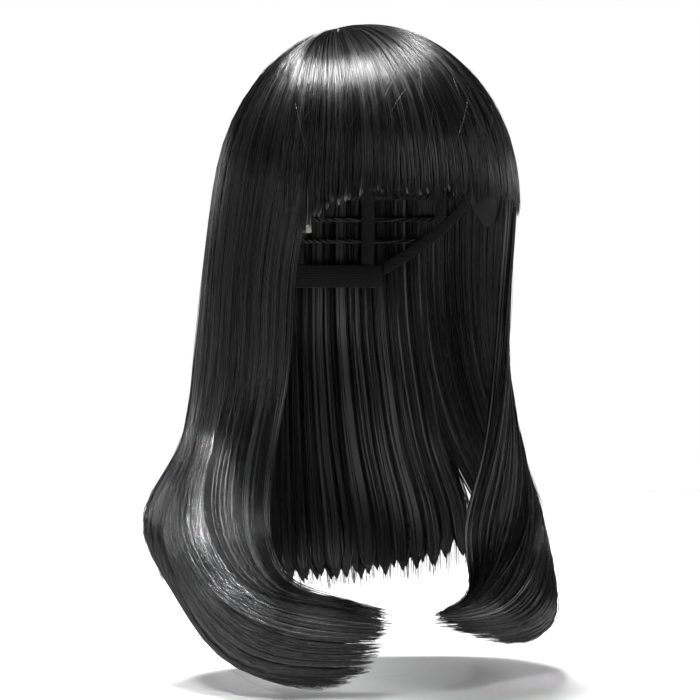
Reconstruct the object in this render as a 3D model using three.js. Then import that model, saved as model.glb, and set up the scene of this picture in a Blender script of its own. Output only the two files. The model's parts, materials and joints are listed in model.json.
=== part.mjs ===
// Costume wig: a wefted stretch cap with a full fringe and long straight hair whose ends curl forward.
// Millimetres. The origin is the middle of the lining disc's flat underside, where the crown of the head
// rests. +Z is up, the face opening looks along -Y, and +X is the wearer's left.
import * as THREE from "three";

// The head form the cap is cut to: half width, half depth and height of crown above its widest level.
const headHalfWidth = 77;
const headHalfDepth = 97;
const headRise = 100;

// Layers, as heights above the head form.
const net = [0.5, 1.5]; // nets, bands, tabs and tapes
const weft = [1.8, 3]; // sewn tracks on the tapes
const stay = [1.8, 2.2]; // metal strips on the ear tabs
const patch = [3, 4]; // skin top
const label = [-0.4, 0.2]; // sewn inside the centre back tape
const hairInside = 4.3;
const hairOutside = 13.5;
const fringeInside = 5.6; // clear of the front band while the fringe lifts
const fringeOutside = 13.5;

const liningRadius = 12;
const liningThickness = 1.2;

// Angles down from the crown, in degrees.
const netStart = 12;
const netEnd = 48;
const patchEnd = 24;
const whorlEnd = 20;
const sectorStart = 20.6;
const frontHairEnd = 59;
const sideHairEnd = 82.6;
const fringeStart = 59.7;
const fringeEndCentre = 88.5;
const fringeEndRight = 98;
const fringeEndLeft = 92;

// Angles round the head, in degrees: 0 is the face, 90 the wearer's left, 180 the back.
const frontHairHalf = 52;
const fringeHalf = 50;
const sideHairFront = 53;
const sideHairBack = 121;
const napeHalf = 42;
const tapeHalf = 3;
const weftHalf = 0.8;

// Bands, tabs and tapes of the cap: edges as angles down from the crown, and half widths, in degrees.
const bandMiddle = 61;
const bandDrop = 12; // how much lower the front band is at its ends
const bandHalf = 4.5;
const bandEnd = 62;
const napeUpper = 111.5;
const napeLower = 120.5;
const tapeUpper = 48.6;
const tapeLower = 110.9;
const bindingHalf = 2.5;
const seam = 0.6; // left open between two cloth pieces that are sewn edge to edge

// Locks.
const lockThickness = 9;
const curlThickness = 11;
const tipThickness = 2.2;
const lockGap = 0.015; // share of a sheet's width left open between two locks

// Adjusters.
const strapLength = 20;
const strapHeight = 8;
const strapThickness = 0.8;
const hookLength = 9.7;
const hookThickness = 1.4;
const adjusterAngle = 158;
const adjusterTheta = 116;
const adjusterLift = 3.3;

// Back fall: half angle it spans, how much shorter it is at its sides, and how far its middle stands back.
const fallHalf = 53;
const fallSideRise = 0.13;
const fallSetBack = 12;

const wig = new THREE.Group();
wig.name = "costume_wig";

const cloth = new THREE.MeshStandardMaterial({ color: 0x17181a, roughness: 0.9 });
const fibre = new THREE.MeshStandardMaterial({ color: 0x0d0d0f, roughness: 0.4 });
const skinTop = new THREE.MeshStandardMaterial({ color: 0x2a2624, roughness: 0.8 });
const metal = new THREE.MeshStandardMaterial({ color: 0x9a9da1, roughness: 0.35, metalness: 1 });
const plastic = new THREE.MeshStandardMaterial({ color: 0x111214, roughness: 0.4 });
const satin = new THREE.MeshStandardMaterial({ color: 0xd9d7d0, roughness: 0.6 });

const rad = THREE.MathUtils.degToRad;
const lerp = THREE.MathUtils.lerp;

// A point above the head form: round angle, angle down from the crown, height above the form.
function onHead(round, down, height) {
  const s = Math.sin(rad(down));
  return new THREE.Vector3(
    (headHalfWidth + height) * s * Math.sin(rad(round)),
    -(headHalfDepth + height) * s * Math.cos(rad(round)),
    -headRise + (headRise + height) * Math.cos(rad(down)),
  );
}

// Six times the volume a closed mesh holds, negative when its faces point inwards.
function signedVolume(geometry) {
  const p = geometry.attributes.position;
  const index = geometry.index;
  const [a, b, c] = [new THREE.Vector3(), new THREE.Vector3(), new THREE.Vector3()];
  let sum = 0;
  for (let i = 0; i < index.count; i += 3) {
    a.fromBufferAttribute(p, index.getX(i));
    b.fromBufferAttribute(p, index.getX(i + 1));
    c.fromBufferAttribute(p, index.getX(i + 2));
    sum += a.dot(b.clone().cross(c));
  }
  return sum;
}

// Moves every vertex through place(), turns the faces outwards and adds the mesh to the wig.
function addShaped(name, geometry, material, place) {
  const p = geometry.attributes.position;
  const v = new THREE.Vector3();
  for (let i = 0; i < p.count; i++) {
    const q = place(v.fromBufferAttribute(p, i));
    p.setXYZ(i, q.x, q.y, q.z);
  }
  if (signedVolume(geometry) < 0) {
    const index = geometry.index;
    for (let i = 0; i < index.count; i += 3) {
      const keep = index.getX(i);
      index.setX(i, index.getX(i + 1));
      index.setX(i + 1, keep);
    }
  }
  geometry.computeVertexNormals();
  const mesh = new THREE.Mesh(geometry, material);
  mesh.name = name;
  wig.add(mesh);
}

// A panel of the cap: round angles from..to, its upper and lower edges as functions of the round angle.
function panel(name, material, [from, to], upper, lower, [inner, outer], across, along) {
  const box = new THREE.BoxGeometry(1, 1, 1, across, along, 1);
  addShaped(name, box, material, (v) => {
    const round = lerp(from, to, v.x + 0.5);
    const down = lerp(upper(round), lower(round), v.y + 0.5);
    return onHead(round, down, v.z > 0 ? outer : inner);
  });
}

// A closed ring round the crown.
function ring(name, material, start, end, [inner, outer], turns, steps) {
  const loop = [];
  for (let i = 0; i <= steps; i++) loop.push(new THREE.Vector2(lerp(start, end, i / steps), outer));
  for (let i = steps; i >= 0; i--) loop.push(new THREE.Vector2(lerp(start, end, i / steps), inner));
  loop.push(loop[0].clone());
  const lathe = new THREE.LatheGeometry(loop, turns);
  addShaped(name, lathe, material, (v) =>
    onHead(THREE.MathUtils.radToDeg(Math.atan2(v.x, v.z)), Math.hypot(v.x, v.z), v.y),
  );
}

// A dome over the crown, with its edge at an angle down.
function dome(name, material, end, [inner, outer], steps) {
  const box = new THREE.BoxGeometry(2, 2, 1, steps, steps, 1);
  addShaped(name, box, material, (v) => {
    const x = v.x * Math.sqrt(1 - (v.y * v.y) / 2); // a square grid drawn onto a round one
    const y = v.y * Math.sqrt(1 - (v.x * v.x) / 2);
    const round = THREE.MathUtils.radToDeg(Math.atan2(x, y));
    return onHead(round, end * Math.hypot(x, y), v.z > 0 ? outer : inner);
  });
}

// One lock of a hanging sheet. surface(u, v) gives the sheet's middle: u across it, v from root to tip.
function lock(name, surface, [from, to], thickness, across, along) {
  const box = new THREE.BoxGeometry(1, 1, 1, across, along, 1);
  const step = 1e-3;
  addShaped(name, box, fibre, (p) => {
    const u = lerp(from, to, p.x + 0.5);
    const v = p.y + 0.5;
    const du = surface(u + step, v).sub(surface(u - step, v));
    const dv = surface(u, Math.min(v + step, 1)).sub(surface(u, Math.max(v - step, 0)));
    const out = du.cross(dv).normalize();
    const rounding = 0.62 + 0.38 * Math.sqrt(1 - (2 * p.x) ** 2); // thinner at the lock's two edges
    return surface(u, v).addScaledVector(out, p.z * thickness(v) * rounding);
  });
}

// A sheet led by three guides, front, middle and rear, with the same number of points each.
function sheetOf(front, middle, rear) {
  const guides = [front, middle, rear].map(
    (points) => new THREE.CatmullRomCurve3(points.map((q) => new THREE.Vector3(...q))),
  );
  return (u, v) => {
    const [a, b, c] = guides.map((g) => g.getPoint(v));
    return a
      .multiplyScalar((1 - u) * (1 - 2 * u))
      .addScaledVector(b, 4 * u * (1 - u))
      .addScaledVector(c, u * (2 * u - 1));
  };
}

// Thick through the fall, thickest in the curl, thin at the tips.
function curtainThickness(v) {
  if (v < 0.55) return lerp(lockThickness, curlThickness, v / 0.55);
  return lerp(curlThickness, tipThickness, ((v - 0.55) / 0.45) ** 1.4);
}

// ---- Cap ----

const frontEdge = (round) => bandMiddle + bandDrop * (round / bandEnd) ** 2; // middle of the front band
const bindingEdge = (round) => 85 + 28 * ((Math.abs(round) - 92.6) / 44.4) ** 0.8;

{
  const disc = new THREE.CylinderGeometry(liningRadius, liningRadius, liningThickness, 32);
  disc.rotateX(Math.PI / 2).translate(0, 0, liningThickness / 2);
  addShaped("crown_lining_disc", disc, cloth, (v) => v);
}
dome("crown_patch", skinTop, patchEnd, patch, 10);
ring("crown_net", cloth, netStart, netEnd, net, 40, 5);
const panelEdge = (r) => frontEdge(r) - bandHalf - seam;
panel("front_net_panel", cloth, [1 - bandEnd, bandEnd - 1], () => netEnd + seam, panelEdge, net, 16, 1);
const bandEdges = [(r) => frontEdge(r) - bandHalf, (r) => frontEdge(r) + bandHalf];
panel("front_band", cloth, [-bandEnd, bandEnd], ...bandEdges, net, 20, 1);
const napeSpan = [180 - napeHalf, 180 + napeHalf];
panel("nape_band", cloth, napeSpan, () => napeUpper, () => napeLower, net, 16, 1);
const centreSpan = [180 - tapeHalf, 180 + tapeHalf];
panel("centre_back_tape", cloth, centreSpan, () => tapeUpper, () => tapeLower, net, 1, 10);

for (const [side, s] of [["left", 1], ["right", -1]]) {
  const tabLower = (r) => 84 + 13 * Math.sin(rad((180 * (Math.abs(r) - 58)) / 38));
  panel(side + "_ear_tab", cloth, [63 * s, 92 * s], () => 70, tabLower, net, 8, 4);
  panel(side + "_tab_stay", metal, [75.5 * s, 79 * s], () => 73, () => 94, stay, 1, 6);
  const upper = (r) => bindingEdge(r) - bindingHalf;
  const lower = (r) => bindingEdge(r) + bindingHalf;
  panel(side + "_edge_binding", cloth, [92.7 * s, 137.2 * s], upper, lower, net, 10, 1);
  const sideTape = [(110 - tapeHalf) * s, (110 + tapeHalf) * s];
  panel(side + "_side_tape", cloth, sideTape, () => tapeUpper, (r) => upper(r) - seam, net, 1, 8);
  const backTape = [(145 - tapeHalf) * s, (145 + tapeHalf) * s];
  panel(side + "_back_tape", cloth, backTape, () => tapeUpper, () => tapeLower, net, 1, 10);
}

[28, 35, 42].forEach((down, i) => {
  ring("crown_weft_" + (i + 1), fibre, down - weftHalf, down + weftHalf, weft, 40, 1);
});
[50, 56.5].forEach((down, i) => {
  const rise = (r) => down + 0.4 * (frontEdge(r) - frontEdge(0));
  const edges = [(r) => rise(r) - weftHalf, (r) => rise(r) + weftHalf];
  panel("front_weft_" + (i + 1), fibre, [-58, 58], edges[0], edges[1], weft, 14, 1);
});
const backRows = [[54, 66], [62, 66], [70, 68], [78, 95], [86, 98], [94, 109], [102, 121]];
backRows.forEach(([down, start], i) => {
  const edges = [() => down - weftHalf, () => down + weftHalf];
  panel("back_weft_" + (i + 1), fibre, [start, 360 - start], edges[0], edges[1], weft, 22, 1);
});
panel("loop_tape", cloth, [166, 194], () => 113, () => 119, [1.8, 2.6], 8, 1);
panel("care_label", satin, [172, 188], () => 92, () => 99, label, 4, 1);

// Flat adjusters outside the nape band, each along the tangent where the strap meets the hook.
for (const [side, s] of [["left", 1], ["right", -1]]) {
  const start = onHead(adjusterAngle * s, adjusterTheta, adjusterLift);
  const ahead = onHead((adjusterAngle + 1) * s, adjusterTheta, adjusterLift);
  const along = ahead.sub(start).setZ(0).normalize(); // towards the centre back
  const up = new THREE.Vector3(0, 0, 1);
  const out = new THREE.Vector3().crossVectors(along, up).normalize();
  if (out.y < 0) out.negate();
  const place = (v) =>
    start.clone().addScaledVector(along, v.x).addScaledVector(up, v.y).addScaledVector(out, v.z);
  const strap = new THREE.BoxGeometry(strapLength, strapHeight, strapThickness, 6, 1, 1);
  strap.translate(-strapLength / 2 - 0.3, 0, strapThickness / 2 + 0.3);
  addShaped(side + "_strap", strap, cloth, place);
  // The hook is a flat plate with a mouth cut up into its lower edge, so it drops onto a loop.
  const half = strapHeight / 2;
  const outline = new THREE.Shape();
  outline.moveTo(0.2, -half);
  outline.lineTo(4.6, -half);
  outline.lineTo(4.6, -half + 1.6);
  outline.lineTo(3.4, -half + 2.4);
  outline.lineTo(3.4, half - 3.2);
  outline.lineTo(5, half - 1.9);
  outline.lineTo(6.6, half - 3.2);
  outline.lineTo(6.6, -half + 1.2);
  outline.lineTo(hookLength - 1.4, -half + 0.6);
  outline.lineTo(hookLength, -half + 2.4);
  outline.lineTo(hookLength, half - 2);
  outline.lineTo(hookLength - 2, half);
  outline.lineTo(0.2, half);
  const plate = new THREE.ExtrudeGeometry(outline, { depth: hookThickness, bevelEnabled: false });
  plate.setIndex([...Array(plate.attributes.position.count).keys()]);
  addShaped(side + "_hook", plate, plastic, place);
}

// ---- Hair on the cap ----

const hair = [hairInside, hairOutside];
dome("whorl_hair", fibre, whorlEnd, hair, 10);
const frontEnd = () => frontHairEnd;
const sideEnd = () => sideHairEnd;
const sectorTop = () => sectorStart;
panel("top_front_hair", fibre, [-frontHairHalf, frontHairHalf], sectorTop, frontEnd, hair, 12, 6);
panel("left_side_hair", fibre, [sideHairFront, sideHairBack], sectorTop, sideEnd, hair, 8, 8);
panel("right_side_hair", fibre, [-sideHairBack, -sideHairFront], sectorTop, sideEnd, hair, 8, 8);
panel("crown_back_hair", fibre, [122, 238], sectorTop, sideEnd, hair, 12, 8);

// ---- Fringe ----

const fringeEnd = (r) => {
  const side = r < 0 ? fringeEndRight : fringeEndLeft;
  return lerp(fringeEndCentre, side, (Math.abs(r) / fringeHalf) ** 3);
};
const fringeShares = [["right", -fringeHalf, -17.4], ["centre", -16.8, 16.8], ["left", 17.4, fringeHalf]];
for (const [part, from, to] of fringeShares) {
  const layer = [fringeInside, fringeOutside];
  panel("fringe_" + part, fibre, [from, to], () => fringeStart, fringeEnd, layer, 6, 7);
}

// ---- Curtains: guide points from root to tip, for the wearer's right and left ----

const rightSheet = sheetOf(
  [[-72, -57, -88], [-78, -47, -140], [-80, -45, -200], [-87, -38, -252], [-96, -48, -298],
    [-94, -73, -326], [-76, -89, -334], [-57, -98, -340], [-34, -102, -346]],
  [[-86, 0, -88], [-89, 8, -140], [-92, 10, -200], [-101, 12, -252], [-121, 8, -298],
    [-113, -10, -343], [-100, -50, -367], [-62, -86, -371], [-32, -99, -366]],
  [[-73, 56, -88], [-76, 64, -140], [-82, 66, -200], [-90, 65, -252], [-121, 67, -298],
    [-107, 32, -341], [-95, 4, -374], [-68, -56, -387], [-38, -91, -375]],
);
const leftSheet = sheetOf(
  [[72, -57, -88], [74, -46, -140], [70, -45, -200], [58, -53, -252], [41, -60, -298],
    [38, -73, -324], [30, -83, -336], [16, -88, -342], [0, -90, -346]],
  [[86, 0, -88], [88, 7, -140], [92, 4, -200], [104, -14, -252], [111, -24, -298],
    [107, -44, -334], [86, -74, -352], [46, -93, -359], [-14, -101, -352]],
  [[73, 56, -88], [76, 64, -140], [82, 66, -200], [98, 64, -252], [118, 50, -298],
    [118, 14, -337], [104, -34, -359], [78, -68, -366], [46, -88, -366]],
);
const shares = [["front", 0, 0.33], ["side", 0.33, 0.67], ["rear", 0.67, 1]];
for (const [side, sheet] of [["right", rightSheet], ["left", leftSheet]]) {
  for (const [part, from, to] of shares) {
    const span = [from + lockGap, to - lockGap];
    lock(side + "_curtain_" + part, sheet, span, curtainThickness, 4, 22);
  }
}

// ---- Back fall: half width and half depth at each height ----

const fallHeights = [-88, -150, -200, -255, -300, -335, -352];
const fallWidths = [[86, 106], [90, 100], [99, 98], [112, 96], [132, 93], [133, 87], [124, 78]];
const fallLevels = new THREE.CatmullRomCurve3(
  fallWidths.map(([across, back], i) => new THREE.Vector3(across, back, fallHeights[i])),
);
const backSheet = (u, v) => {
  const level = fallLevels.getPoint(v * (1 - fallSideRise * Math.abs(2 * u - 1) ** 2.5));
  const round = rad(lerp(-fallHalf, fallHalf, u));
  const behind = fallSetBack * Math.min(1, (fallHeights[0] - level.z) / 100);
  return new THREE.Vector3(level.x * Math.sin(round), behind + level.y * Math.cos(round), level.z);
};
const fallThickness = (v) => lerp(lockThickness + 1, tipThickness, v ** 5);
for (const [part, from, to] of [["right", 0, 0.33], ["centre", 0.33, 0.67], ["left", 0.67, 1]]) {
  lock("back_fall_" + part, backSheet, [from + lockGap, to - lockGap], fallThickness, 5, 16);
}

export default wig;
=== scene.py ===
import json
import math

import bpy
import numpy as np
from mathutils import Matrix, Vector

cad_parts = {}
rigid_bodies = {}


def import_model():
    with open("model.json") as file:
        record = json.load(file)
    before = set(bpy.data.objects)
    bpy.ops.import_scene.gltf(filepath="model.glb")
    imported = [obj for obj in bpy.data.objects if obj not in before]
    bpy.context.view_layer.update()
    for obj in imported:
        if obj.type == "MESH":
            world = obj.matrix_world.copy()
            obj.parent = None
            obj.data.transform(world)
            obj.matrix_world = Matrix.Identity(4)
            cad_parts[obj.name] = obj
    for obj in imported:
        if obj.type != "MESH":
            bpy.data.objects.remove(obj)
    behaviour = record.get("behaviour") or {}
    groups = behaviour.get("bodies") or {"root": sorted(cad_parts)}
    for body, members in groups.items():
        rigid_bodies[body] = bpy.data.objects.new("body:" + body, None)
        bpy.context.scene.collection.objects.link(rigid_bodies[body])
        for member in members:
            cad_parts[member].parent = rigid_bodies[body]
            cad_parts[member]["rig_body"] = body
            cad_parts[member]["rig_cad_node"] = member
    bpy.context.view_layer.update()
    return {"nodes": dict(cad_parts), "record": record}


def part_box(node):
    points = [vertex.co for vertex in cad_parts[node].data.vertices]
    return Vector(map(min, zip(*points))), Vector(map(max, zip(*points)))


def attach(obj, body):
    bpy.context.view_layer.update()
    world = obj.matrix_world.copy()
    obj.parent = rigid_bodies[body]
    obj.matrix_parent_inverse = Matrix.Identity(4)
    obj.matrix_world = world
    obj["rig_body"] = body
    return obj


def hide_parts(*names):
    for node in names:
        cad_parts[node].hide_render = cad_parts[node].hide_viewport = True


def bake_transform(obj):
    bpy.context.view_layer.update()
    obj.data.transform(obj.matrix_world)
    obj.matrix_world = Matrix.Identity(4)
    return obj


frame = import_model()
mm = 0.001
print("frame loaded", len(frame["nodes"]), "nodes")

# The head form that the cap is cut to, and the layer the hair lies in above it.
head = {"halfWidth": 77, "halfDepth": 97, "rise": 100, "hairMiddle": 8.9}
# The crown whorl that all the hair turns out from, a little behind the top and to the wearer's right.
# Turning is how soon the hair comes round to its plumb line.
whorl = {"across": -10, "back": 13, "turning": 1.15}


def deselect():
    bpy.ops.object.select_all(action="DESELECT")


def toLinear(hexColour):
    channels = [int(hexColour[i : i + 2], 16) / 255 for i in (1, 3, 5)]
    return [c / 12.92 if c <= 0.04045 else ((c + 0.055) / 1.055) ** 2.4 for c in channels] + [1.0]


def addNode(material, kind, settings=None, inputs=None, links=None):
    node = material.node_tree.nodes.new(kind)
    for name, value in (settings or {}).items():
        setattr(node, name, value)
    for name, value in (inputs or {}).items():
        node.inputs[name].default_value = value
    for name, output in (links or {}).items():
        material.node_tree.links.new(output, node.inputs[name])
    return node


def newMaterial(name, settings):
    material = bpy.data.materials.new(name)
    material.use_nodes = True
    shader = material.node_tree.nodes["Principled BSDF"]
    for key, value in settings.items():
        shader.inputs[key].default_value = value
    return material, shader


def alongGuide(points, t):
    # A smooth curve through the points, read at t from 0 to 1.
    p = np.asarray(points, float)
    p = np.vstack([2 * p[0] - p[1], p, 2 * p[-1] - p[-2]])
    spans = len(points) - 1
    x = np.clip(t, 0, 1) * spans
    i = np.minimum(x.astype(int), spans - 1)
    f = (x - i)[..., None]
    a, b, c, d = p[i], p[i + 1], p[i + 2], p[i + 3]
    return 0.5 * (2 * b + (c - a) * f + (2 * a - 5 * b + 4 * c - d) * f**2 + (3 * b - a - 3 * c + d) * f**3)


def curtainPoint(guides, u, v):
    a, b, c = (alongGuide(g, v) for g in guides)
    u = u[..., None]
    return a * (1 - u) * (1 - 2 * u) + b * 4 * u * (1 - u) + c * u * (2 * u - 1)


def domePoint(direction, lift):
    x = (head["halfWidth"] + lift) * direction[..., 0]
    y = (head["halfDepth"] + lift) * direction[..., 1]
    z = -head["rise"] + (head["rise"] + lift) * direction[..., 2]
    return np.stack([x, y, z], -1)


def directionOf(points):
    scaled = points + np.array([0, 0, head["rise"]])
    scaled = scaled / np.array([head["halfWidth"], head["halfDepth"], head["rise"]])
    return scaled / np.linalg.norm(scaled, axis=-1, keepdims=True)


def headDirection(roundAngle, downAngle):
    r, d = np.radians(roundAngle), np.radians(downAngle)
    return np.stack([np.sin(d) * np.sin(r), -np.sin(d) * np.cos(r), np.cos(d)], -1)


whorlX, whorlY = whorl["across"] / head["halfWidth"], whorl["back"] / head["halfDepth"]
whorlDirection = np.array([whorlX, whorlY, math.sqrt(1 - whorlX**2 - whorlY**2)])


def acrossCrown(ends, t):
    # Straight out from the whorl at first, then easing into plumb lines, as the hair's weight draws it.
    angle = np.arccos(np.clip(ends @ whorlDirection, -1, 1))[..., None]
    straight = (np.sin((1 - t) * angle) * whorlDirection + np.sin(t * angle) * ends) / np.sin(angle)
    down = np.arccos(np.clip(ends[..., 2:], -1, 1)) * t
    level = ends[..., :2] / np.maximum(np.linalg.norm(ends[..., :2], axis=-1, keepdims=True), 1e-9)
    plumb = np.concatenate([level * np.sin(down), np.cos(down)], -1)
    turned = np.clip(t * whorl["turning"], 0, 1)
    share = turned**2 * (3 - 2 * turned)
    way = straight * (1 - share) + plumb * share
    return way / np.linalg.norm(way, axis=-1, keepdims=True)


# The paths that each curtain hangs along, at its front edge, its middle and its rear edge, in millimetres.
curtainGuides = {
    "right": [
        [[-72, -57, -88], [-78, -47, -140], [-80, -45, -200], [-87, -38, -252], [-96, -48, -298],
         [-94, -73, -325], [-76, -89, -330], [-57, -98, -335], [-34, -102, -342]],
        [[-86, 0, -88], [-89, 8, -140], [-92, 10, -200], [-101, 12, -252], [-121, 8, -298],
         [-113, -10, -343], [-100, -50, -367], [-62, -86, -371], [-32, -99, -366]],
        [[-73, 56, -88], [-76, 64, -140], [-82, 66, -200], [-90, 65, -252], [-121, 67, -298],
         [-107, 32, -341], [-95, 4, -374], [-68, -56, -387], [-38, -91, -375]],
    ],
    "left": [
        [[72, -57, -88], [74, -46, -140], [70, -45, -200], [58, -53, -252], [41, -60, -298],
         [38, -73, -324], [30, -83, -336], [16, -88, -342], [0, -90, -346]],
        [[86, 0, -88], [88, 7, -140], [92, 4, -200], [98, -14, -252], [111, -24, -298],
         [107, -44, -334], [86, -74, -352], [44, -93, -359], [-20, -102, -352]],
        [[73, 56, -88], [76, 64, -140], [82, 66, -200], [98, 64, -252], [118, 50, -298],
         [118, 14, -337], [104, -34, -359], [78, -68, -366], [46, -88, -366]],
    ],
}
# The back fall is one arc round the nape at each level: half width, depth and height, in millimetres.
backGuide = {
    "levels": [[86, 106, -88], [90, 100, -150], [99, 98, -200], [112, 96, -255],
               [132, 93, -300], [133, 87, -335], [124, 78, -352]],
    "halfAngle": 56, "top": -88, "setBack": 12, "setBackOver": 100, "sideRise": 0.13,
}


def backPoint(u, v):
    level = alongGuide(backGuide["levels"], v * (1 - backGuide["sideRise"] * np.abs(2 * u - 1) ** 2.5))
    angle = np.radians(backGuide["halfAngle"]) * (2 * u - 1)
    behind = np.clip((backGuide["top"] - level[..., 2]) / backGuide["setBackOver"], 0, 1)
    x = level[..., 0] * np.sin(angle)
    y = backGuide["setBack"] * behind + level[..., 1] * np.cos(angle)
    return np.stack([x, y, level[..., 2]], -1)


def normalsOf(surface, u, v):
    step = 1e-3
    du = surface(u + step, v) - surface(u - step, v)
    dv = surface(u, np.minimum(v + step, 1)) - surface(u, np.maximum(v - step, 0))
    out = np.cross(du, dv)
    out /= np.maximum(np.linalg.norm(out, axis=-1, keepdims=True), 1e-9)
    middle = surface(np.full_like(u, 0.5), np.zeros_like(v))
    outward = np.sign(np.sum(out[:, :1] * middle[:, :1] * [1, 1, 0], -1, keepdims=True))
    return out * outward


def evenly(paths, count):
    # Each path read again at evenly spaced points.
    steps = np.linalg.norm(np.diff(paths, axis=1), axis=-1)
    length = np.concatenate([np.zeros((len(paths), 1)), np.cumsum(steps, 1)], 1)
    out = np.empty((len(paths), count, 3))
    for i, path in enumerate(paths):
        at = np.linspace(0, length[i, -1], count)
        for axis in range(3):
            out[i, :, axis] = np.interp(at, length[i], path[:, axis])
    return out


def smoothed(paths, rounds):
    for _ in range(rounds):
        paths[:, 1:-1] = 0.25 * paths[:, :-2] + 0.5 * paths[:, 1:-1] + 0.25 * paths[:, 2:]
    return paths


# Where a path leaves the dome and joins its hanging sheet, and how much of its lift it loses by the end.
fallShape = {"domeEnd": 0.95, "domePoints": 24, "sheetStart": 0.03, "settling": 0.45}


def fallingPaths(surface, u, lift, start, end, points=60):
    # From the whorl over the crown and down a hanging sheet. lift is the height over the sheet's middle.
    rootEnd = surface(u[:, None], np.zeros((len(u), 1)))[:, 0]
    ends = directionOf(rootEnd)
    along = np.linspace(0, 1, fallShape["domePoints"])[None]
    t = start[:, None] + (fallShape["domeEnd"] - start[:, None]) * along
    onDome = acrossCrown(ends[:, None], t[..., None])
    dome = domePoint(onDome, head["hairMiddle"] + lift[:, None] * np.ones_like(t))
    v = np.linspace(fallShape["sheetStart"], 1, points)[None] * end[:, None]
    uu = np.broadcast_to(u[:, None], v.shape)
    height = lift[:, None] * (1 - fallShape["settling"] * v**3)
    hanging = surface(uu, v) + normalsOf(surface, uu, v) * height[..., None]
    return np.concatenate([dome, hanging], 1)


def strandObject(name, paths, radii, finishes, materials):
    # One poly curve per strand with a three-sided bevel, turned into a mesh.
    points = paths.shape[1]
    deselect()
    bpy.ops.curve.primitive_bezier_circle_add(radius=1)
    profile = bpy.context.object
    profile.data.splines.clear()
    ring = profile.data.splines.new("POLY")
    ring.points.add(2)
    corners = [(math.cos(a), math.sin(a), 0, 1) for a in np.radians([90, 210, 330])]
    ring.points.foreach_set("co", np.array(corners).ravel())
    ring.use_cyclic_u = True
    curve = bpy.data.curves.new(name, "CURVE")
    curve.dimensions = "3D"
    curve.bevel_mode = "OBJECT"
    curve.bevel_object = profile
    curve.use_fill_caps = True
    for material in materials:
        curve.materials.append(material)
    for path, radius, finish in zip(paths, radii, finishes):
        spline = curve.splines.new("POLY")
        spline.points.add(points - 1)
        spline.points.foreach_set("co", np.hstack([path * mm, np.ones((points, 1))]).ravel())
        spline.points.foreach_set("radius", radius * mm)
        spline.material_index = int(finish)
    strands = bpy.data.objects.new(name, curve)
    bpy.context.collection.objects.link(strands)
    deselect()
    strands.select_set(True)
    bpy.context.view_layer.objects.active = strands
    bpy.ops.object.convert(target="MESH")
    strands = bpy.context.object
    bpy.data.objects.remove(profile)
    bpy.ops.object.shade_smooth()
    return strands


def ribbonObject(name, grids, halfThickness, material):
    # Flat tapered locks. Each has one (rows, columns, 3) array of places and one (rows) array of half walls.
    count, (rows, columns) = len(grids), grids[0].shape[:2]
    wide = count * columns
    deselect()
    bpy.ops.mesh.primitive_grid_add(x_subdivisions=wide - 1, y_subdivisions=rows - 1, size=1)
    locks = bpy.context.object
    locks.name = locks.data.name = name
    places = np.concatenate(grids, 1)
    locks.data.vertices.foreach_set("co", (places * mm).reshape(-1))
    locks.data.update()
    group = locks.vertex_groups.new(name="thickness")
    factor = np.stack([np.repeat(h[:, None], columns, 1) for h in halfThickness], 1).reshape(rows, wide)
    factor = factor / factor.max()
    for row in range(rows):
        for column in range(0, wide, columns):
            held = [row * wide + column + i for i in range(columns)]
            group.add(held, float(factor[row, column]), "REPLACE")
    bpy.ops.object.mode_set(mode="EDIT")
    bpy.ops.mesh.select_mode(type="FACE")
    bpy.ops.mesh.select_all(action="DESELECT")
    bpy.ops.object.mode_set(mode="OBJECT")
    between = []
    for face in locks.data.polygons:
        first = min(v % wide for v in face.vertices)
        between.append(first % columns == columns - 1)
    locks.data.polygons.foreach_set("select", between)
    bpy.ops.object.mode_set(mode="EDIT")
    bpy.ops.mesh.delete(type="ONLY_FACE")
    bpy.ops.mesh.select_all(action="SELECT")
    bpy.ops.mesh.delete_loose(use_verts=True, use_edges=True, use_faces=False)
    bpy.ops.object.mode_set(mode="OBJECT")
    wall = locks.modifiers.new("wall", "SOLIDIFY")
    wall.thickness = 2 * max(h.max() for h in halfThickness) * mm
    wall.offset = 0
    wall.vertex_group = "thickness"
    wall.thickness_vertex_group = 0.04
    bpy.ops.object.modifier_apply(modifier=wall.name)
    locks.vertex_groups.clear()
    bpy.ops.object.shade_smooth()
    locks.data.materials.append(material)
    return locks


def wire(material, output, socket):
    material.node_tree.links.new(output, material.node_tree.nodes["Principled BSDF"].inputs[socket])


# Modacrylic wig fibre, drawn and heat-set. The eye gets a near black with a plastic gloss that breaks up
# strand by strand. The last two tones are painted light: the painted shade tone is the same fibre made to
# reflect less, and keeps the front lock dark beside the painted highlight tone, a lighter fibre that reflects
# more, of the lock next to it. The light grey tone is partly a random tone, partly painted sheen.
# The dye's repeats, across and along, are millimetres.
fibreFinish = {
    "tones": [
        {"name": "glossyBlackFibre", "dark": "#030304", "light": "#070708", "roughness": (0.17, 0.25)},
        {"name": "softBlackFibre", "dark": "#050506", "light": "#0A0A0C", "roughness": (0.24, 0.34)},
        # A light grey tone: partly a random tone among the strands, partly painted sheen where bands and
        # locks take it.
        {"name": "greyToneAndPaintedSheenFibre", "dark": "#0D0D0E", "light": "#19191B", "roughness": (0.28, 0.4)},
        # Painted shade: the glossy tone's colours, made to reflect less so the lock that wears it reads dark.
        {"name": "paintedShadeFibre", "dark": "#030304", "light": "#070708", "roughness": (0.2, 0.3),
         "ior": 1.24},
        # Painted highlight: a lighter copy of the fibre that reflects more, for the bright lock by the near
        # curl.
        {"name": "paintedHighlightFibre", "dark": "#08080A", "light": "#141416", "roughness": (0.18, 0.28),
         "ior": 2.1},
    ],
    "across": 1.6, "along": 45, "ior": 1.5,
}


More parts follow.
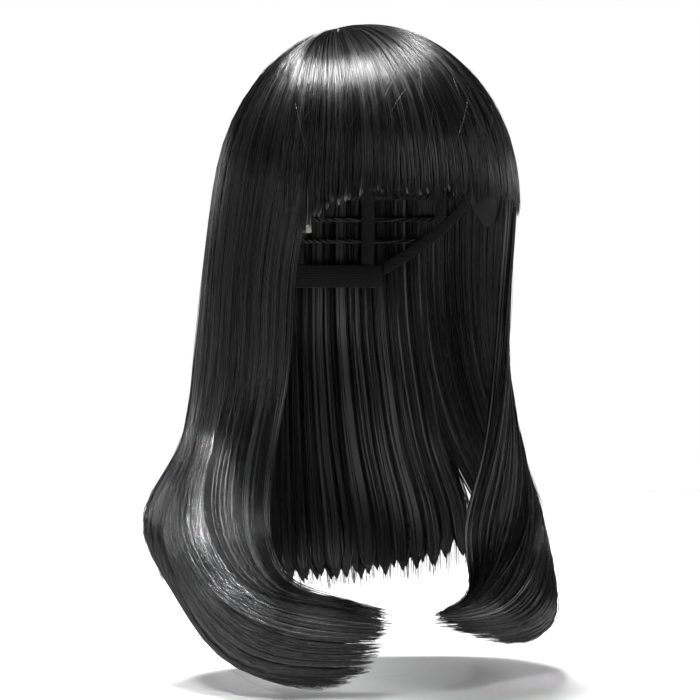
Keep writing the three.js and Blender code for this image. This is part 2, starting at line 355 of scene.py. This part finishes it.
def fibreMaterial(tone):
    made, _ = newMaterial(tone["name"], {"IOR": tone.get("ior", fibreFinish["ior"])})
    place = addNode(made, "ShaderNodeTexCoord")
    across, along = 1 / (fibreFinish["across"] * mm), 1 / (fibreFinish["along"] * mm)
    drawn = addNode(
        made, "ShaderNodeMapping", None,
        {"Scale": (across, across, along)}, {"Vector": place.outputs["Object"]},
    )
    dye = addNode(
        made, "ShaderNodeTexNoise", None, {"Scale": 1, "Detail": 2}, {"Vector": drawn.outputs["Vector"]}
    )
    shade = addNode(
        made, "ShaderNodeMix", {"data_type": "RGBA"},
        {6: toLinear(tone["dark"]), 7: toLinear(tone["light"])}, {0: dye.outputs["Fac"]},
    )
    gloss = addNode(
        made, "ShaderNodeMapRange", None,
        {"To Min": tone["roughness"][0], "To Max": tone["roughness"][1]}, {"Value": dye.outputs["Fac"]},
    )
    wire(made, shade.outputs[2], "Base Color")
    wire(made, gloss.outputs["Result"], "Roughness")
    return made


fibres = [fibreMaterial(tone) for tone in fibreFinish["tones"]]

# The same fibre packed side by side in flat locks. The eye reads it as fine parallel lines in the gloss.
packedFinish = {
    "dark": "#030304", "light": "#09090B", "roughness": 0.3, "across": 900, "along": 5,
    "relief": 0.35, "depth": 0.4,
}
packed, _ = newMaterial(
    "packedWigFibre", {"Roughness": packedFinish["roughness"], "IOR": fibreFinish["ior"]}
)
place = addNode(packed, "ShaderNodeTexCoord")
stretch = addNode(
    packed, "ShaderNodeMapping", None,
    {"Scale": (packedFinish["across"], packedFinish["along"], 1)}, {"Vector": place.outputs["UV"]},
)
lines = addNode(
    packed, "ShaderNodeTexNoise", {"noise_dimensions": "2D"}, {"Scale": 1, "Detail": 2, "Roughness": 0.6},
    {"Vector": stretch.outputs["Vector"]},
)
shade = addNode(
    packed, "ShaderNodeMix", {"data_type": "RGBA"},
    {6: toLinear(packedFinish["dark"]), 7: toLinear(packedFinish["light"])}, {0: lines.outputs["Fac"]},
)
relief = addNode(
    packed, "ShaderNodeBump", None,
    {"Strength": packedFinish["relief"], "Distance": packedFinish["depth"] * mm},
    {"Height": lines.outputs["Fac"]},
)
wire(packed, shade.outputs[2], "Base Color")
wire(packed, relief.outputs["Normal"], "Normal")

rng = np.random.default_rng(7)


# Roots and surfacing are shares of a strand's way down; thickness is the spread about the mean radius.
strandShape = {
    "firstRoot": 0.004, "lastRoot": 0.55, "surfacing": 0.5, "surfacingOver": 0.14,
    "thickness": (0.7, 1.3), "tip": 0.16,
}
# A ribbon's start down the crown, its half width against the spacing, and how its walls thin to the end.
ribbonShape = {"start": 0.008, "overlap": 0.62, "columns": 5, "thinning": 0.2}


def sweptAcross(surface, sweep, begins=0.36, ends=0.72):
    # The same sheet with its hair drawn over towards the front edge as it nears the curl.
    def swept(u, v):
        t = np.clip((v - begins) / (ends - begins), 0, 1)
        inside = np.clip(u, 0, 1)
        reach = np.clip(1.6 * inside, 0, 1) * (1 - 0.7 * inside**4)
        return surface(u - sweep * t * t * (3 - 2 * t) * reach, v)

    return swept


def clumpedStrands(surface, uRange, hair, layer):
    # Strands gathered in clumps that draw together towards the tips.
    count, lifts = layer["count"], layer["lifts"]
    points, clumps = hair["points"], hair["clumps"]
    surface = sweptAcross(surface, layer.get("sweep", 0))
    u0 = rng.uniform(uRange[0], uRange[1], count)
    centres = np.sort(rng.uniform(uRange[0], uRange[1], clumps))
    own = np.abs(u0[:, None] - centres[None]).argmin(1)
    lift = rng.uniform(lifts[0], lifts[1], count)
    shortest, longest = layer.get("ends", hair["ends"])
    clumpEnd = rng.uniform(shortest, longest, clumps) - hair["slant"] * centres
    ends = np.clip(clumpEnd[own] - np.abs(rng.normal(0, hair["raggedness"], count)), 0.5, 1)
    reach = rng.uniform(0, 1, count)
    # Roots crowd together at the whorl and thin out down the crown.
    start = np.arccos(1 - 0.9 * reach) / (math.pi / 2) * strandShape["lastRoot"] + strandShape["firstRoot"]
    paths = evenly(fallingPaths(surface, u0, lift, start, ends), points)
    centrePaths = evenly(fallingPaths(surface, centres[own], lift, start, ends), points)
    s = np.linspace(0, 1, points)[None]
    if "surfaceLift" in layer:
        raised = evenly(fallingPaths(surface, u0, lift + layer["surfaceLift"], start, ends), points)
        # This lock lies under the others at the crown and comes out on top above the curl.
        t = np.clip((s - strandShape["surfacing"]) / strandShape["surfacingOver"], 0, 1)[..., None]
        paths = paths + (raised - paths) * t * t * (3 - 2 * t)
    gather = hair["pull"] * np.clip((s - 0.5) / 0.5, 0, 1)[..., None] ** 2
    paths = paths * (1 - gather) + centrePaths * gather
    paths = smoothed(addWaves(paths, own, clumps, hair["wave"]), 2)
    thickness = rng.uniform(*strandShape["thickness"], (count, 1))
    radii = hair["radius"] * thickness * taperOf(s, strandShape["tip"])
    finishes = finishOf(own, clumps)
    if "finishes" in layer:
        finishes = np.array(layer["finishes"])[own % len(layer["finishes"])]
    # Clumps inside the painted sheen band take the light grey tone, as painted sheen.
    sheenFrom, sheenTo = layer.get("paintedSheenBand", (0, 0))
    finishes = np.where((centres[own] > sheenFrom) & (centres[own] < sheenTo), 2, finishes)
    return paths, radii, finishes


def strayStrands(surface, uRange, hair, stray):
    # Single fibres that have sprung out of the sheet, thinner than the rest.
    count, points = stray["count"], hair["points"]
    u = rng.uniform(uRange[0], uRange[1], count)
    lift = rng.uniform(*stray["lifts"], count)
    start, end = np.full(count, stray["start"]), rng.uniform(stray["shortest"], 1, count)
    paths = evenly(fallingPaths(surface, u, lift, start, end), points)
    s = np.linspace(0, 1, points)[None]
    away = rng.normal(0, stray["spring"], (count, 1, 3)) * np.clip((s - 0.55) / 0.45, 0, 1)[..., None] ** 1.8
    own = np.arange(count)
    paths = smoothed(addWaves(paths + away, own, count, stray["wave"]), 2)
    radii = stray["radius"] * rng.uniform(0.8, 1.2, (count, 1)) * taperOf(s, 0.3)
    return paths, radii, rng.integers(0, 3, count)


def taperOf(s, tipShare):
    return np.clip((1 - s) / tipShare, 0.12, 1) ** 0.7 * np.clip(0.35 + s / 0.08, 0, 1)


def finishOf(own, clumps):
    shade = 0.5 * rng.normal(0, 1, clumps)[own] + rng.normal(0, 0.8, len(own))
    return np.digitize(shade, [0.1, 1.0])


def addWaves(paths, own, clumps, size):
    count, points = paths.shape[:2]
    s = np.linspace(0, 1, points)[None]
    drift = np.zeros_like(paths)
    for axis in range(3):
        for turns, share in ((1.3, 1.0), (3.1, 0.4), (8.3, 0.16)):
            clumpPhase = rng.uniform(0, 2 * math.pi, clumps)[own][:, None]
            strandPhase = rng.uniform(0, 2 * math.pi, count)[:, None]
            clumpSize = rng.uniform(0.3, 1, clumps)[own][:, None]
            drift[..., axis] += share * clumpSize * np.sin(turns * 2 * math.pi * s + clumpPhase)
            drift[..., axis] += 0.45 * share * np.sin(turns * 1.7 * 2 * math.pi * s + strandPhase)
    return paths + drift * size * np.clip(s * 1.6, 0, 1)[..., None] * [1, 1, 0.2]


def together(parts):
    return [np.concatenate(group) for group in zip(*parts)]


def flatLocks(surface, hair, layer):
    # Ribbons of packed fibre that overlap across a sheet, each with its own length and a pointed end.
    count, rows, columns = layer["ribbons"], hair["rows"], ribbonShape["columns"]
    surface = sweptAcross(surface, layer.get("sweep", 0))
    lift = (layer["lifts"][0] + layer["lifts"][1]) / 2
    centres = (np.arange(count) + 0.5) / count + rng.normal(0, 0.15 / count, count)
    across = np.linspace(-1, 1, columns)
    grids, walls = [], []
    for centre in centres:
        end = rng.uniform(hair["ends"][0], 1) - hair["slant"] * centre - hair["short"]
        own = lift + rng.uniform(-0.5, 0.5)
        middle = np.clip(centre + across * ribbonShape["overlap"] / count, -0.03, 1.03)
        start = np.full(columns, ribbonShape["start"])
        paths = fallingPaths(surface, middle, np.full(columns, own), start, np.full(columns, end))
        paths = smoothed(evenly(paths, rows), 2)
        s = np.linspace(0, 1, rows)
        narrow = np.clip((1 - s) / hair["point"], 0.015, 1) ** 0.8
        axis = paths.mean(0, keepdims=True)
        paths = axis + (paths - axis) * narrow[None, :, None]
        grids.append(paths.transpose(1, 0, 2))
        walls.append(0.5 * layer["wall"] * np.clip((1 - s) / ribbonShape["thinning"], 0.05, 1))
    return grids, walls


# Strands lie in layers over flat locks. Lifts are heights over the middle of the sheet, in millimetres, and
# ends are shares of the sheet's length. "extra" holds the lock that shows on top of each part of a curtain.
curtain = {
    "points": 34, "clumps": 34, "radius": 0.21, "ends": (0.94, 1.0), "slant": 0.06,
    "raggedness": 0.015, "pull": 0.4, "wave": 0.6, "rows": 46,
    "point": 0.1, "short": 0.015,
    "layers": [
        {"count": 520, "lifts": (2.4, 4.2), "sweep": 0.4},
        {"count": 110, "lifts": (-1.8, 2), "sweep": 0},
        {"count": 170, "lifts": (-4.4, -2.6), "sweep": 0},
    ],
    "extra": {
        # The front lock takes mostly the painted shade tone, so it stays dark beside the lock next to it.
        "front": {
            "share": (-0.02, 0.42), "count": 420, "lifts": (1, 2.2), "surfaceLift": 4, "sweep": 0.56,
            "finishes": [3, 3, 1, 3], "ends": (0.83, 0.92),
        },
        # The side lock takes mostly the painted highlight tone, with some painted sheen grey: a painted
        # highlight where it turns into the near curl.
        "side": {
            "share": (0.34, 0.62), "count": 230, "lifts": (1.2, 2.6), "surfaceLift": 3.4, "sweep": 0.42,
            "finishes": [4, 2, 4, 0],
        },
        "rear": {"share": (0.7, 1.02), "count": 150, "lifts": (4, 6), "sweep": 0, "ends": (0.9, 0.97)},
    },
    # Bands painted as sheen with the light grey tone: a lighter streak down the near front lock, and the
    # sheen lock on the far curtain.
    "paintedSheenBand": {"right": (0.04, 0.08), "left": (0.34, 0.44)},
    "stray": {
        "count": 16, "spring": 7, "wave": 2.2, "radius": 0.1,
        "lifts": (3, 5), "start": 0.3, "shortest": 0.75,
    },
    "locks": [
        {"ribbons": 22, "lifts": (0.8, 2.4), "wall": 1.4, "sweep": 0.4},
        {"ribbons": 20, "lifts": (-0.8, 0.6), "wall": 1.8, "sweep": 0.1},
        {"ribbons": 20, "lifts": (-3.2, -2), "wall": 1.4, "sweep": 0},
    ],
    "shares": {"front": (-0.02, 0.34), "side": (0.33, 0.67), "rear": (0.66, 1.02)},
}


def lockObject(name, surface, hair, replaced):
    grids, walls = [], []
    for layer in hair["locks"]:
        more, moreWalls = flatLocks(surface, hair, layer)
        grids, walls = grids + more, walls + moreWalls
    locks = ribbonObject(name, grids, walls, packed)
    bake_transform(locks)
    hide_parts(*replaced)
    return locks


for side in ("right", "left"):
    surface = lambda u, v, g=curtainGuides[side]: curtainPoint(g, u, v)
    for part, share in curtain["shares"].items():
        extra = curtain["extra"][part]
        made = [clumpedStrands(surface, share, curtain, dict(layer, paintedSheenBand=curtain["paintedSheenBand"][side]))
                for layer in curtain["layers"]]
        made.append(clumpedStrands(surface, extra["share"], curtain, extra))
        made = together(made + [strayStrands(surface, share, curtain, curtain["stray"])])
        lock = strandObject(f"{side}_curtain_{part}_strands", *made, fibres)
        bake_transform(lock)
        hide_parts(f"{side}_curtain_{part}")
    lockObject(side + "_curtain_locks", surface, curtain, [side + "_side_hair"])
    print(side, "curtain made")

# The back fall hangs straight, with its ends cut nearly level.
fall = dict(
    curtain, slant=0, clumps=70, ends=(0.95, 1.0), raggedness=0.025, pull=0.2, point=0.04, short=0.075
)
fall["layers"] = [
    {"count": 520, "lifts": (2.4, 4.4)},
    {"count": 80, "lifts": (-1.6, 2)},
    {"count": 160, "lifts": (-4.2, -2.4)},
]
fall["locks"] = [
    {"ribbons": 24, "lifts": (0.8, 2.4), "wall": 1.4},
    {"ribbons": 22, "lifts": (-0.8, 0.6), "wall": 1.8},
    {"ribbons": 22, "lifts": (-3.2, -2), "wall": 1.4},
]
for part, share in (("right", (-0.02, 0.34)), ("centre", (0.33, 0.67)), ("left", (0.66, 1.02))):
    made = [clumpedStrands(backPoint, share, fall, layer) for layer in fall["layers"]]
    made = together(made + [strayStrands(backPoint, share, fall, fall["stray"])])
    lock = strandObject(f"back_fall_{part}_strands", *made, fibres)
    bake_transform(lock)
    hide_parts("back_fall_" + part)
lockObject("back_fall_locks", backPoint, fall, ["crown_back_hair", "whorl_hair"])
print("back fall made")

# Angles are degrees round the head from the front, and ends are degrees down from the crown.
fringe = {
    "points": 32, "clumps": 40, "radius": 0.19, "halfAngle": 60, "centreEnd": 88.6, "rightEnd": 102.5,
    "leftEnd": 94, "drop": 5, "pull": 0.35, "wave": 0.4, "rows": 34,
    "stray": {
        "count": 26, "swing": 9, "radius": 0.1, "high": (35, 68), "drop": (8, 26), "lowest": 86,
        "lift": 4.2, "arch": (0.3, 1.3),
    },
    "layers": [
        {"count": 560, "lifts": (2.2, 4.6)},
        {"count": 160, "lifts": (-2.5, 2.2)},
    ],
    "locks": [
        {"ribbons": 32, "lift": 1.6, "wall": 1.2},
        {"ribbons": 30, "lift": -0.4, "wall": 1.4},
    ],
    "shares": {"right": (-67, -20), "centre": (-22, 20), "left": (18, 60)},
}


def fringePaths(roundAngle, endDown, lift, start):
    ends = headDirection(roundAngle, endDown)
    t = start[:, None] + (1 - start[:, None]) * np.linspace(0, 1, fringe["points"])[None]
    onDome = acrossCrown(ends[:, None], t[..., None])
    return domePoint(onDome, head["hairMiddle"] + lift[:, None] * np.ones_like(t))


def fringeEnd(roundAngle):
    side = np.where(roundAngle < 0, fringe["rightEnd"], fringe["leftEnd"])
    share = np.clip(np.abs(roundAngle) / fringe["halfAngle"], 0, 1) ** fringe["drop"]
    return fringe["centreEnd"] + (side - fringe["centreEnd"]) * share


def fringeStrands(angles, layer):
    count, lifts, clumps = layer["count"], layer["lifts"], fringe["clumps"]
    angle = rng.uniform(angles[0], angles[1], count)
    centres = np.sort(rng.uniform(angles[0], angles[1], clumps))
    own = np.abs(angle[:, None] - centres[None]).argmin(1)
    lift = rng.uniform(lifts[0], lifts[1], count)
    clumpEnd = fringeEnd(centres) + rng.normal(0, 0.9, clumps)
    ends = clumpEnd[own] - np.abs(rng.normal(0, 1.1, count))
    start = rng.uniform(strandShape["firstRoot"], 0.5, count)
    paths = fringePaths(angle, ends, lift, start)
    centre = fringePaths(centres[own], ends, lift * 0.8, start)
    s = np.linspace(0, 1, fringe["points"])[None]
    gather = fringe["pull"] * np.clip((s - 0.6) / 0.4, 0, 1)[..., None] ** 1.6
    paths = paths * (1 - gather) + centre * gather
    paths = smoothed(addWaves(paths, own, clumps, fringe["wave"]), 2)
    radii = fringe["radius"] * rng.uniform(*strandShape["thickness"], (count, 1)) * taperOf(s, 0.1)
    return paths, radii, finishOf(own, clumps)


def fringeStrays(angles, stray):
    # Loose fibres that lie across the fringe, just above it.
    count, points = stray["count"], fringe["points"]
    s = np.linspace(0, 1, points)[None]
    middle, swing = rng.uniform(*angles, (count, 1)), rng.normal(0, stray["swing"], (count, 1))
    high, low = rng.uniform(*stray["high"], (count, 1)), rng.uniform(*stray["drop"], (count, 1))
    around = middle + swing * (s - 0.5) + 2 * np.sin(3 * s + rng.uniform(0, 6, (count, 1)))
    onDome = headDirection(around, np.minimum(high + low * s, stray["lowest"]))
    arch = rng.uniform(*stray["arch"], (count, 1)) * np.sin(math.pi * s)
    paths = domePoint(onDome, head["hairMiddle"] + stray["lift"] + arch)
    # These fibres all take the light grey tone, painted sheen for the glints they catch.
    return paths, stray["radius"] * taperOf(s, 0.3) * np.ones((count, 1)), np.full(count, 2)


for part, share in fringe["shares"].items():
    made = [fringeStrands(share, layer) for layer in fringe["layers"]]
    made = together(made + [fringeStrays(share, fringe["stray"])])
    lock = strandObject(f"fringe_{part}_strands", *made, fibres)
    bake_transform(lock)
    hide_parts("fringe_" + part)
grids, walls = [], []
low, high = fringe["shares"]["right"][0], fringe["shares"]["left"][1]
for layer in fringe["locks"]:
    for i in range(layer["ribbons"]):
        spacing = (high - low) / layer["ribbons"]
        centre = low + spacing * (i + 0.5 + rng.normal(0, 0.15))
        columns = centre + np.linspace(-1, 1, ribbonShape["columns"]) * ribbonShape["overlap"] * spacing
        flat = np.full(len(columns), layer["lift"] + rng.uniform(-0.4, 0.4))
        end = fringeEnd(np.full(len(columns), centre)) - rng.uniform(1.2, 3.2)
        start = np.full(len(columns), ribbonShape["start"])
        paths = evenly(fringePaths(columns, end, flat, start), fringe["rows"])
        s = np.linspace(0, 1, fringe["rows"])
        axis = paths.mean(0, keepdims=True)
        paths = axis + (paths - axis) * (np.clip((1 - s) / 0.06, 0.02, 1) ** 0.7)[None, :, None]
        grids.append(paths.transpose(1, 0, 2))
        walls.append(0.5 * layer["wall"] * np.clip((1 - s) / 0.1, 0.05, 1))
locks = ribbonObject("fringe_locks", grids, walls, packed)
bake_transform(locks)
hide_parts("top_front_hair")
print("fringe made")


def clothMaterial(look):
    # A two-tone cloth whose pattern also stands up in relief. pitch is the repeat in millimetres.
    sheen, metal = look.get("sheen", 0), look.get("metal", 0)
    made, _ = newMaterial(
        look["name"], {"Roughness": look["roughness"], "Sheen Weight": sheen, "Metallic": metal}
    )
    place = addNode(made, "ShaderNodeTexCoord")
    stretch = addNode(
        made, "ShaderNodeMapping", None,
        {"Scale": look.get("stretch", (1, 1, 1))}, {"Vector": place.outputs["Object"]},
    )
    cell = 1 / (look["pitch"] * mm)
    if look["pattern"] == "rib":
        settings = {"wave_type": "BANDS", "bands_direction": look.get("direction", "Z")}
        # A wave texture at scale 1 has its bands pi / 10 apart.
        pattern = addNode(
            made, "ShaderNodeTexWave", settings,
            {"Scale": cell * math.pi / 10, "Distortion": 0.6, "Detail": 1},
            {"Vector": stretch.outputs["Vector"]},
        )
    else:
        pattern = addNode(
            made, "ShaderNodeTexNoise", None, {"Scale": cell, "Detail": 3},
            {"Vector": stretch.outputs["Vector"]},
        )
    shade = addNode(
        made, "ShaderNodeMix", {"data_type": "RGBA"},
        {6: toLinear(look["dark"]), 7: toLinear(look["light"])}, {0: pattern.outputs["Fac"]},
    )
    relief = addNode(
        made, "ShaderNodeBump", None, {"Strength": look["relief"], "Distance": look["pitch"] * mm / 3},
        {"Height": pattern.outputs["Fac"]},
    )
    wire(made, shade.outputs[2], "Base Color")
    wire(made, relief.outputs["Normal"], "Normal")
    return made


capFinishes = {
    # Woven elastic: ribs across the tape, matt, with a little give in the light from one rib to the next.
    "elastic_tape": {"name": "wovenElastic", "dark": "#08080A", "light": "#222327", "roughness": 0.8,
                     "pattern": "rib", "pitch": 1.1, "relief": 0.7},
    # Short-pile velvet: soft and deep, lighter where it is seen edge on.
    "velvet_band": {"name": "shortPileVelvet", "dark": "#0A0A0B", "light": "#1D1D20", "roughness": 0.95,
                    "pattern": "nap", "pitch": 0.7, "relief": 0.5, "sheen": 0.08},
    # Knitted nylon net, fine and slightly shiny thread.
    "net_lace": {"name": "knittedNylonNet", "dark": "#0B0B0D", "light": "#26272B", "roughness": 0.55,
                 "pattern": "rib", "pitch": 0.5, "relief": 0.4, "direction": "DIAGONAL"},
    # Fibre folded over and machine sewn into a hard, corded track.
    "weft_track": {"name": "sewnFibreTrack", "dark": "#050506", "light": "#1E1E22", "roughness": 0.5,
                   "pattern": "rib", "pitch": 1.6, "relief": 0.9, "direction": "DIAGONAL"},
    # Plain woven cotton lining, dull and even.
    "lining_cloth": {"name": "cottonLining", "dark": "#161618", "light": "#2A2A2E", "roughness": 0.9,
                     "pattern": "rib", "pitch": 0.8, "relief": 0.5, "direction": "X"},
    # Cast polyurethane film with fine pores, faintly warm.
    "skin_top": {"name": "polyurethaneFilm", "dark": "#1C1917", "light": "#2C2725", "roughness": 0.6,
                 "pattern": "pore", "pitch": 0.6, "relief": 0.3},
    # Soft annealed steel strip, brushed along its length.
    "tab_stay_steel": {"name": "brushedSteelStrip", "dark": "#7F8286", "light": "#A9ACB0",
                       "roughness": 0.38, "pattern": "brush", "pitch": 0.4, "relief": 0.15, "metal": 1,
                       "stretch": (1, 1, 0.05)},
    # Injection-moulded acetal, dense black with a waxy gloss.
    "hook_plastic": {"name": "mouldedAcetal", "dark": "#0B0B0D", "light": "#101113", "roughness": 0.34,
                     "pattern": "pore", "pitch": 0.9, "relief": 0.08},
    # Woven polyester satin, blank, with a soft shine along the weft.
    "label_satin": {"name": "polyesterSatin", "dark": "#C9C6BE", "light": "#DEDCD5", "roughness": 0.42,
                    "pattern": "rib", "pitch": 0.5, "relief": 0.2, "sheen": 0.3},
}
capMaterials = {slot: clothMaterial(look) for slot, look in capFinishes.items()}
thread = clothMaterial({"name": "polyesterThread", "dark": "#1B1C1F", "light": "#3A3B40", "roughness": 0.5,
                        "pattern": "rib", "pitch": 0.4, "relief": 0.4})

# Edge roundings, net and stitch sizes in millimetres.
softEdge = {
    "cloth": 0.22, "weft": 0.4, "metal": 0.08, "hook": 0.3, "segments": 2, "merge": 0.02,
    "flatAngle": 40, "edgeAngle": 50, "smoothAngle": 35,
}
netMesh = {"pitch": 2.6, "thread": 0.42, "lift": 1.0}
sewing = {"length": 2.1, "gap": 1.1, "radius": 0.16, "lift": 0.45, "rise": 0.3}


def softened(node, width):
    # A copy of the node's solid with its corners merged and its edges rounded.
    deselect()
    source = frame["nodes"][node]
    source.select_set(True)
    bpy.context.view_layer.objects.active = source
    bpy.ops.object.duplicate()
    copy = bpy.context.object
    copy.name = copy.data.name = node + "_sewn"
    del copy["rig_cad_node"], copy["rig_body"]
    copy.parent = None
    bpy.ops.object.mode_set(mode="EDIT")
    bpy.ops.mesh.select_all(action="SELECT")
    bpy.ops.mesh.remove_doubles(threshold=softEdge["merge"] * mm)
    flat = math.radians(softEdge["flatAngle"])
    bpy.ops.mesh.tris_convert_to_quads(face_threshold=flat, shape_threshold=flat)
    bpy.ops.object.mode_set(mode="OBJECT")
    rounding = copy.modifiers.new("rounding", "BEVEL")
    rounding.width = width * mm
    rounding.segments = softEdge["segments"]
    rounding.limit_method = "ANGLE"
    rounding.angle_limit = math.radians(softEdge["edgeAngle"])
    bpy.ops.object.modifier_apply(modifier=rounding.name)
    bpy.ops.object.shade_smooth_by_angle(angle=math.radians(softEdge["smoothAngle"]))
    copy.data.materials.clear()
    return copy


def openNet(name, rounds, downs):
    # A knitted net: a grid on the head form with every other row shifted, kept as its threads only.
    middleDown = (downs[0] + downs[1]) / 2
    reach = math.radians(rounds[1] - rounds[0]) * head["halfDepth"] * math.sin(math.radians(middleDown))
    columns = int(reach / netMesh["pitch"])
    rows = int(math.radians(downs[1] - downs[0]) * head["rise"] / netMesh["pitch"])
    deselect()
    bpy.ops.mesh.primitive_grid_add(x_subdivisions=columns, y_subdivisions=rows, size=1)
    lace = bpy.context.object
    lace.name = lace.data.name = name
    row, column = np.mgrid[0 : rows + 1, 0 : columns + 1]
    around = rounds[0] + (rounds[1] - rounds[0]) * (column + 0.5 * (row % 2)) / (columns + 0.5)
    down = downs[0] + (downs[1] - downs[0]) * row / rows
    places = domePoint(headDirection(around, down), netMesh["lift"])
    lace.data.vertices.foreach_set("co", (places * mm).reshape(-1))
    lace.data.update()
    threads = lace.modifiers.new("threads", "WIREFRAME")
    threads.thickness = netMesh["thread"] * mm
    bpy.ops.object.modifier_apply(modifier=threads.name)
    bpy.ops.object.shade_smooth()
    return lace


def sewRun(rounds, down, zigzag=0):
    # Stitches along one line inside the cap: short threads that rise out of the cloth and go back in.
    middle = down(sum(rounds) / 2)
    reach = math.radians(rounds[1] - rounds[0]) * (head["halfWidth"] + head["halfDepth"]) / 2
    count = int(reach * math.sin(math.radians(middle)) / (sewing["length"] + sewing["gap"]))
    step = (rounds[1] - rounds[0]) / count
    cover = sewing["length"] / (sewing["length"] + sewing["gap"])
    s = np.linspace(0, 1, 5)[None]
    first = rounds[0] + step * np.arange(count)[:, None]
    around = first + step * cover * s
    sway = zigzag * (s - 0.5) * np.where(np.arange(count)[:, None] % 2, 1, -1)
    lift = sewing["lift"] - sewing["rise"] * np.sin(math.pi * s) * np.ones_like(around)
    return domePoint(headDirection(around, down(around) + sway), lift)


def stitching(name, runs):
    paths = np.concatenate(runs)
    radii = np.full(paths.shape[:2], sewing["radius"])
    sewn = strandObject(name, paths, radii, np.zeros(len(paths)), [thread])
    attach(sewn, "cap")


slots = {row["node"]: row["material_slot"] for row in frame["record"]["subparts"]}
widths = {
    "weft_track": softEdge["weft"], "tab_stay_steel": softEdge["metal"], "hook_plastic": softEdge["hook"],
}
nets = {"crown_net": ((-180, 180), (12.5, 47.8)), "front_net_panel": ((-60.5, 60.5), (48.5, 56))}
for node, solid in frame["nodes"].items():
    slot = slots[node]
    if slot == "hair_fibre":
        continue
    body = solid["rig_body"]
    if node in nets:
        piece = openNet(node + "_lace", *nets[node])
    else:
        piece = softened(node, widths.get(slot, softEdge["cloth"]))
    piece.data.materials.append(capMaterials[slot])
    if node.endswith("_strap"):
        # The elastic stretches from its sewn end to the hook, so its copy is baked in place rather than tied
        # to one body.
        low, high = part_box(node)
        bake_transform(piece)
    else:
        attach(piece, body)
    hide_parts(node)

# Seams run along the cloth in degrees round the head, at so many degrees down from the crown.
seams = {
    "front": {"middle": 61, "drop": 12, "end": 62, "rounds": (-60, 60), "downs": (-3.6, 3.6)},
    "nape": {"rounds": (140, 220), "downs": (112.5, 119.5)},
    "tapes": {
        "starts": (107.5, 142.5, 177.5, 212.5, 247.5), "width": 5, "downs": (54, 62, 70, 78, 86),
        "zigzag": 1.2,
    },
}


def frontSeam(around, offset):
    return seams["front"]["middle"] + seams["front"]["drop"] * (around / seams["front"]["end"]) ** 2 + offset


def levelSeam(around, down):
    return down + 0 * around


stitching("front_band_stitching", [
    sewRun(seams["front"]["rounds"], lambda r, d=d: frontSeam(r, d)) for d in seams["front"]["downs"]
])
stitching("nape_band_stitching", [
    sewRun(seams["nape"]["rounds"], lambda r, d=d: levelSeam(r, d)) for d in seams["nape"]["downs"]
])
stitching("tape_stitching", [
    sewRun((start, start + seams["tapes"]["width"]), lambda r, d=d: levelSeam(r, d), seams["tapes"]["zigzag"])
    for start in seams["tapes"]["starts"] for d in seams["tapes"]["downs"]
])
print("cap made")

stage = {"floor": -0.398, "width": 2.2, "floorColour": "#FAFAFA", "roughness": 0.8, "around": 0.15}
deselect()
bpy.ops.mesh.primitive_plane_add(size=stage["width"], location=(0, 0, stage["floor"]))
floor = bpy.context.object
floor.name = "floor"
# Matt pale paper, so the hair throws only a soft shadow on it.
floorPaint, _ = newMaterial(
    "paleStudioFloor", {"Base Color": toLinear(stage["floorColour"]), "Roughness": stage["roughness"]}
)
floor.data.materials.append(floorPaint)

world = bpy.data.worlds.new("studio")
world.use_nodes = True
# The paper backdrop is white where it is looked at, and gives the hair only a weak light all round.
tree = world.node_tree
backdrop = tree.nodes["Background"]
backdrop.inputs["Color"].default_value = (1, 1, 1, 1)
around = tree.nodes.new("ShaderNodeBackground")
around.inputs["Strength"].default_value = stage["around"]
seen = tree.nodes.new("ShaderNodeLightPath")
either = tree.nodes.new("ShaderNodeMixShader")
tree.links.new(seen.outputs["Is Camera Ray"], either.inputs[0])
tree.links.new(around.outputs[0], either.inputs[1])
tree.links.new(backdrop.outputs[0], either.inputs[2])
tree.links.new(either.outputs[0], tree.nodes["World Output"].inputs["Surface"])
bpy.context.scene.world = world

# Places and sizes in metres, powers in watts, spreads in degrees. The overhead light draws the bright band
# round the crown, and the two kickers pick out the fibres where they turn into the near curl.
lights = {
    "overhead": {"at": (-0.2, 0.1, 1.3), "size": 0.45, "power": 79},
    "frontAbove": {"at": (0.3, -1.5, 0.6), "size": 0.8, "power": 9},
    "curlKicker": {
        "at": (-0.38, -0.57, 0.21), "size": 0.2, "power": 0.1, "spread": 16, "to": (-0.11, -0.02, -0.33),
    },
    "lockKicker": {
        "at": (-0.875, -0.1, 0.14), "size": 0.12, "power": 0.075, "spread": 10, "to": (-0.115, 0.01, -0.275),
    },
    "frontLeft": {"at": (-1.7, -1.3, 0.0), "size": 0.7, "power": 5},
    "rightFill": {"at": (1.6, -1.0, 0.1), "size": 0.8, "power": 15},
    "backRim": {"at": (-1.2, 1.0, 0.2), "size": 0.5, "power": 6},
}
for name, light in lights.items():
    bpy.ops.object.light_add(type="AREA", location=light["at"])
    lamp = bpy.context.object
    lamp.name = name
    lamp.data.size = light["size"]
    lamp.data.energy = light["power"]
    lamp.data.spread = math.radians(light.get("spread", 180))
    towards = Vector(light.get("to", (0, 0, -0.15))) - Vector(light["at"])
    lamp.rotation_euler = towards.to_track_quat("-Z", "Y").to_euler()

view = {"azimuth": -28, "elevation": 2, "distance": 1.8, "lens": 148, "aim": (-8.8, 4.7, -189.4)}
a, e = math.radians(view["azimuth"]), math.radians(view["elevation"])
aim = Vector(view["aim"]) * mm
away = Vector((math.sin(a) * math.cos(e), -math.cos(a) * math.cos(e), math.sin(e)))
bpy.ops.object.camera_add(location=aim + away * view["distance"])
camera = bpy.context.object
camera.rotation_euler = (-away).to_track_quat("-Z", "Y").to_euler()
camera.data.lens = view["lens"]
camera.data.sensor_width = 36
bpy.context.scene.camera = camera
bpy.context.scene.view_settings.view_transform = "Standard"
